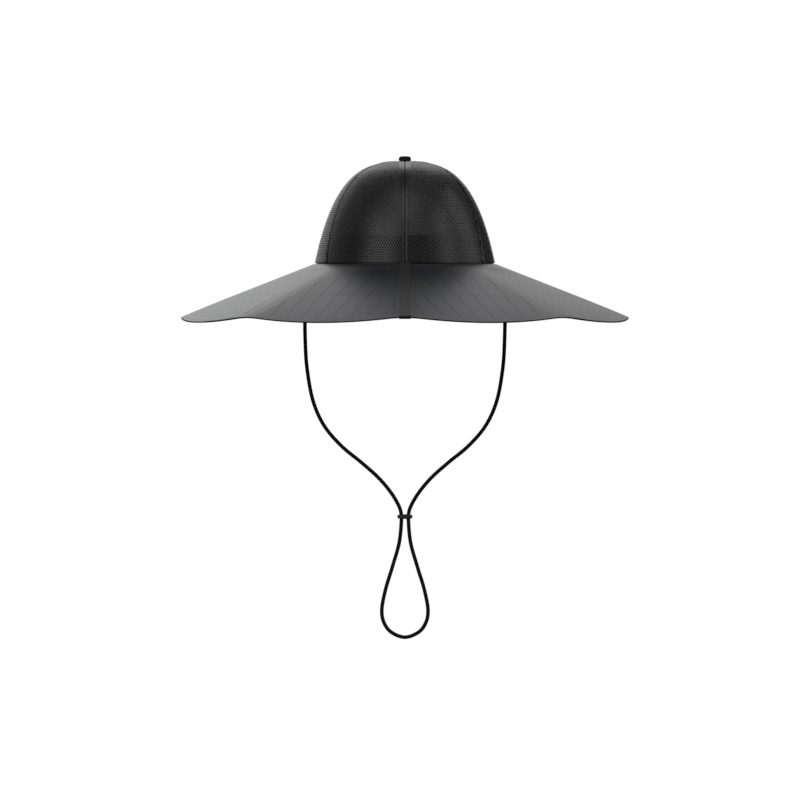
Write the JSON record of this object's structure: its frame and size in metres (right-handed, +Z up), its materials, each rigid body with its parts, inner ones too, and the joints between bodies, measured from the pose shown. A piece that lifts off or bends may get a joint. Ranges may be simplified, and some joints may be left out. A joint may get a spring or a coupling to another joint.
{
  "type": "solar panel sun hat",
  "caption": "Wide-brimmed sun hat with a net crown, solar laminates in the sides of its brim, and a chin cord with a slider.",
  "frame": {"origin": "middle of the head opening, level with the seam between the crown and the brim, where the head holds the hat", "axes": "+Z up through the crown, -Y towards the front, +X to the right as seen from the front"},
  "size_m": [0.448, 0.4819, 0.4827],
  "materials": {
    "crown_net": "knitted polyester net",
    "tape": "woven seam tape",
    "band_cloth": "brushed jersey",
    "button_cloth": "cloth over a button",
    "brim_cloth": "coated plain weave",
    "solar_film": "matt textured film over dark cells",
    "binding": "folded tape",
    "strap_webbing": "flat webbing",
    "cord": "round braid",
    "slider_rubber": "moulded, matt"
  },
  "bodies": {
    "root": {"crown_panel_front_right": "crown_net", "crown_panel_right": "crown_net", "crown_panel_back_right": "crown_net", "crown_panel_back_left": "crown_net", "crown_panel_left": "crown_net", "crown_panel_front_left": "crown_net", "seam_tape_front": "tape", "seam_tape_front_right": "tape", "seam_tape_back_right": "tape", "seam_tape_back": "tape", "seam_tape_back_left": "tape", "seam_tape_front_left": "tape", "sweatband": "band_cloth", "top_button": "button_cloth", "brim": "brim_cloth", "solar_panel_1": "solar_film", "solar_panel_2": "solar_film", "solar_panel_3": "solar_film", "solar_panel_4": "solar_film", "solar_panel_5": "solar_film", "solar_panel_6": "solar_film", "solar_panel_7": "solar_film", "solar_panel_8": "solar_film", "edge_binding": "binding", "front_strap": "strap_webbing", "chin_cord": "cord", "cord_slider": "slider_rubber", "cord_boss_left": "slider_rubber", "cord_boss_right": "slider_rubber"}
  },
  "joints": []
}
